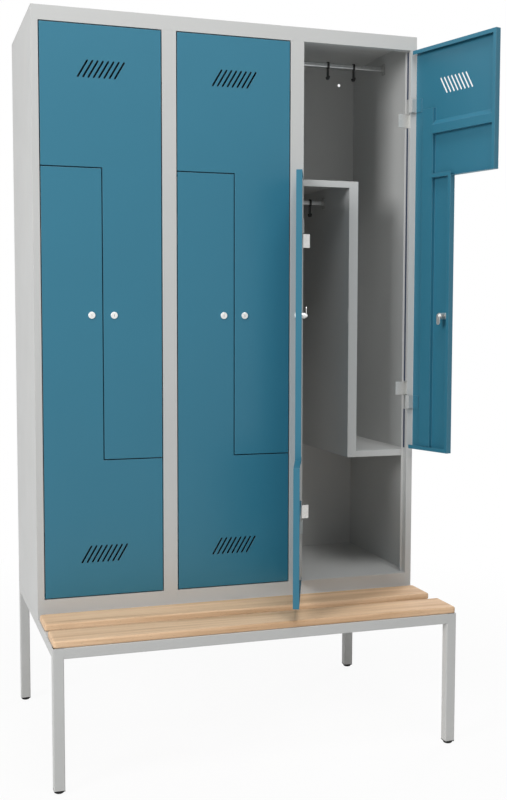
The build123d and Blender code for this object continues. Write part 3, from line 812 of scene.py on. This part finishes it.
class LOCKER_OT_welds(bpy.types.Operator):
    """Closes the corner seams of the tube frame with ground welds"""

    bl_idname = "locker.welds"
    bl_label = "Weld the frame's corners"

    def execute(self, context):
        sizes = context.scene.locker_sizes
        material = bpy.data.materials["Frame paint"]
        width, depth = sizes.weld_width, SEAM_DEPTH + sizes.weld_proud
        middle = SEAM_DEPTH / 2 - sizes.weld_proud / 2
        level = RAIL_TOP - TUBE / 2
        shape = bmesh.new()
        for across in (-1.0, 1.0):
            for along in (-1.0, 1.0):
                corner_x, corner_y = across * (LEG_X + TUBE), along * (LEG_Y + TUBE)
                inner_x, inner_y = across * (LEG_X + SEAM_INSET), along * (LEG_Y + SEAM_INSET)
                add_block(
                    shape, (inner_x, corner_y - along * middle, level), (width, depth, SEAM_LENGTH)
                )
                add_block(
                    shape, (corner_x - across * middle, inner_y, level), (depth, width, SEAM_LENGTH)
                )
        round_edges(shape, shape.edges[:], WELD_ROUNDING, ROUNDING_STEPS)
        piece = piece_from(shape, "corner_welds", CABINET, material)
        smooth_by_angle(piece.data, PIECE_SMOOTH_ANGLE)
        return {"FINISHED"}


class LOCKER_OT_screws(bpy.types.Operator):
    """Adds two domed screws to each bracket of the coat rails"""

    bl_idname = "locker.screws"
    bl_label = "Screw the rail brackets"

    def execute(self, context):
        sizes = context.scene.locker_sizes
        material = bpy.data.materials["Plated zinc"]
        flat = sizes.screw_head_height / sizes.screw_head_radius
        shape = bmesh.new()
        for place in self.places(sizes):
            bmesh.ops.create_uvsphere(
                shape, u_segments=SCREW_STEPS_ROUND, v_segments=SCREW_STEPS_UP,
                radius=sizes.screw_head_radius,
                matrix=Matrix.Translation(place) @ Matrix.Diagonal((flat, 1.0, 1.0, 1.0)),
            )
        piece = piece_from(shape, "bracket_screws", CABINET, material)
        smooth_by_angle(piece.data, PIECE_SMOOTH_ANGLE)
        return {"FINISHED"}

    @staticmethod
    def places(sizes):
        """The middle of each screw's dome, on its bracket's plate."""
        for level, spans in RAIL_ENDS.items():
            for ends in spans:
                for wall, hand in zip(ends, (1.0, -1.0)):
                    for side in (-0.5, 0.5):
                        height = level + side * sizes.screw_spacing
                        yield wall + hand * sizes.bracket_plate, RAIL_Y, height


class LOCKER_OT_stage(bpy.types.Operator):
    """Sets the floor, the light and the camera"""

    bl_idname = "locker.stage"
    bl_label = "Set the stage"

    def execute(self, context):
        scene = context.scene
        stage = scene.locker_stage
        scene.view_settings.view_transform = "Standard"
        self.set_world(scene, stage)
        self.set_floor(stage)
        for name in LAMPS:
            self.set_lamp(scene, stage, name)
        self.set_camera(scene, stage)
        return {"FINISHED"}

    @staticmethod
    def seen_directly(tree):
        """One for camera, glossy and transmission rays, nought for the light on the object."""
        path = add_node(tree, "ShaderNodeLightPath").outputs
        direct = arithmetic(tree, "MAXIMUM", path["Is Camera Ray"], path["Is Glossy Ray"])
        return arithmetic(tree, "MAXIMUM", direct, path["Is Transmission Ray"])

    @staticmethod
    def mix_surfaces(tree, share, first, second, output):
        """Blend two shaders by a share and put the result out."""
        mix = add_node(tree, "ShaderNodeMixShader")
        for socket, value in zip(mix.inputs, (share, first.outputs[0], second.outputs[0])):
            tree.links.new(value, socket)
        tree.links.new(mix.outputs[0], tree.nodes[output].inputs["Surface"])

    def set_world(self, scene, stage):
        """Even light from all round, which the camera sees as plain white."""
        world = bpy.data.worlds.new("Plain studio")
        world.use_nodes = True
        scene.world = world
        tree = world.node_tree
        white = add_node(tree, "ShaderNodeBackground", {"Color": WHITE, "Strength": 1.0})
        sky = tree.nodes["Background"]
        sky.inputs["Color"].default_value = WHITE
        sky.inputs["Strength"].default_value = stage.sky_strength
        self.mix_surfaces(tree, self.seen_directly(tree), sky, white, "World Output")

    def set_floor(self, stage):
        """A pale floor whose shadow fades into plain white away from the object."""
        shape = bmesh.new()
        bmesh.ops.create_circle(
            shape, cap_ends=True, radius=FLOOR_RADIUS, segments=FLOOR_STEPS,
            matrix=Matrix.Translation((0.0, 0.0, -FLOOR_DROP)),
        )
        floor = object_from(shape, "floor")
        material = bpy.data.materials.new("Pale floor")
        material.use_nodes = True
        floor.data.materials.append(material)
        tree = material.node_tree
        tree.nodes.remove(tree.nodes["Principled BSDF"])
        matt = add_node(tree, "ShaderNodeBsdfDiffuse", {"Color": opaque(stage.floor_colour)})
        white = add_node(tree, "ShaderNodeEmission", {"Color": WHITE, "Strength": 1.0})
        distance = vector_arithmetic(tree, "LENGTH", own_place(tree))["Value"]
        far = mapped(tree, distance, VEIL_SPAN, (stage.floor_veil, 1.0))
        share = arithmetic(tree, "MULTIPLY", far, self.seen_directly(tree))
        self.mix_surfaces(tree, share, matt, white, "Material Output")

    @staticmethod
    def set_lamp(scene, stage, name):
        """A square lamp that points at the middle of the locker."""
        place = Vector(getattr(stage, name + "_place"))
        lamp = bpy.data.lights.new(name, "AREA")
        lamp.shape = "SQUARE"
        lamp.size = stage.lamp_size
        lamp.energy = getattr(stage, name + "_power")
        holder = bpy.data.objects.new(name, lamp)
        scene.collection.objects.link(holder)
        holder.location = place
        holder.rotation_mode = "QUATERNION"
        holder.rotation_quaternion = (LAMP_AIM - place).to_track_quat("-Z", "Y")

    @staticmethod
    def set_camera(scene, stage):
        """The camera that was fitted to the photograph."""
        yaw, pitch, roll = stage.camera_yaw, stage.camera_pitch, stage.camera_roll
        ahead = Vector(
            (math.sin(yaw) * math.cos(pitch), math.cos(yaw) * math.cos(pitch), -math.sin(pitch))
        )
        level = Vector((math.cos(yaw), -math.sin(yaw), 0.0))
        upright = level.cross(ahead)
        right = math.cos(roll) * level + math.sin(roll) * upright
        up = math.cos(roll) * upright - math.sin(roll) * level
        data = bpy.data.cameras.new("camera")
        data.sensor_fit = "AUTO"
        data.sensor_width = SENSOR_WIDTH
        data.lens = stage.camera_lens
        data.clip_start = CLIP_START
        data.clip_end = CLIP_END
        holder = bpy.data.objects.new("camera", data)
        scene.collection.objects.link(holder)
        turn = Matrix((right, up, -ahead)).transposed().to_4x4()
        holder.matrix_world = Matrix.Translation(stage.camera_place) @ turn
        scene.camera = holder


OPERATORS = (
    LOCKER_OT_paint,
    LOCKER_OT_slats,
    LOCKER_OT_metals,
    LOCKER_OT_plastics,
    LOCKER_OT_hooks,
    LOCKER_OT_seals,
    LOCKER_OT_welds,
    LOCKER_OT_screws,
    LOCKER_OT_stage,
)
PROPERTY_GROUPS = {
    "locker_finishes": LockerFinishes,
    "locker_sizes": LockerSizes,
    "locker_stage": LockerStage,
}


class LOCKER_PT_panel(bpy.types.Panel):
    """Lists the steps and the values of the bench locker"""

    bl_idname = "LOCKER_PT_panel"
    bl_label = "Bench locker"
    bl_space_type = "VIEW_3D"
    bl_region_type = "UI"
    bl_category = "Bench locker"

    def draw(self, context):
        layout = self.layout
        for operator in OPERATORS:
            layout.operator(operator.bl_idname)
        for group_name, group in PROPERTY_GROUPS.items():
            box = layout.box()
            for name in group.__annotations__:
                box.prop(getattr(context.scene, group_name), name)


CLASSES = (*PROPERTY_GROUPS.values(), *OPERATORS, LOCKER_PT_panel)


def register():
    """Register the classes and give the scene its values."""
    for cls in CLASSES:
        bpy.utils.register_class(cls)
    for name, group in PROPERTY_GROUPS.items():
        setattr(bpy.types.Scene, name, PointerProperty(type=group))


def unregister():
    """Take the values and the classes away again."""
    for name in PROPERTY_GROUPS:
        delattr(bpy.types.Scene, name)
    for cls in reversed(CLASSES):
        bpy.utils.unregister_class(cls)


def main():
    """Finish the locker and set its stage."""
    register()
    bpy.ops.locker.paint()
    bpy.ops.locker.slats()
    bpy.ops.locker.metals()
    bpy.ops.locker.plastics()
    bpy.ops.locker.hooks()
    bpy.ops.locker.seals()
    bpy.ops.locker.welds()
    bpy.ops.locker.screws()
    bpy.ops.locker.stage()


if __name__ == "__main__":
    main()
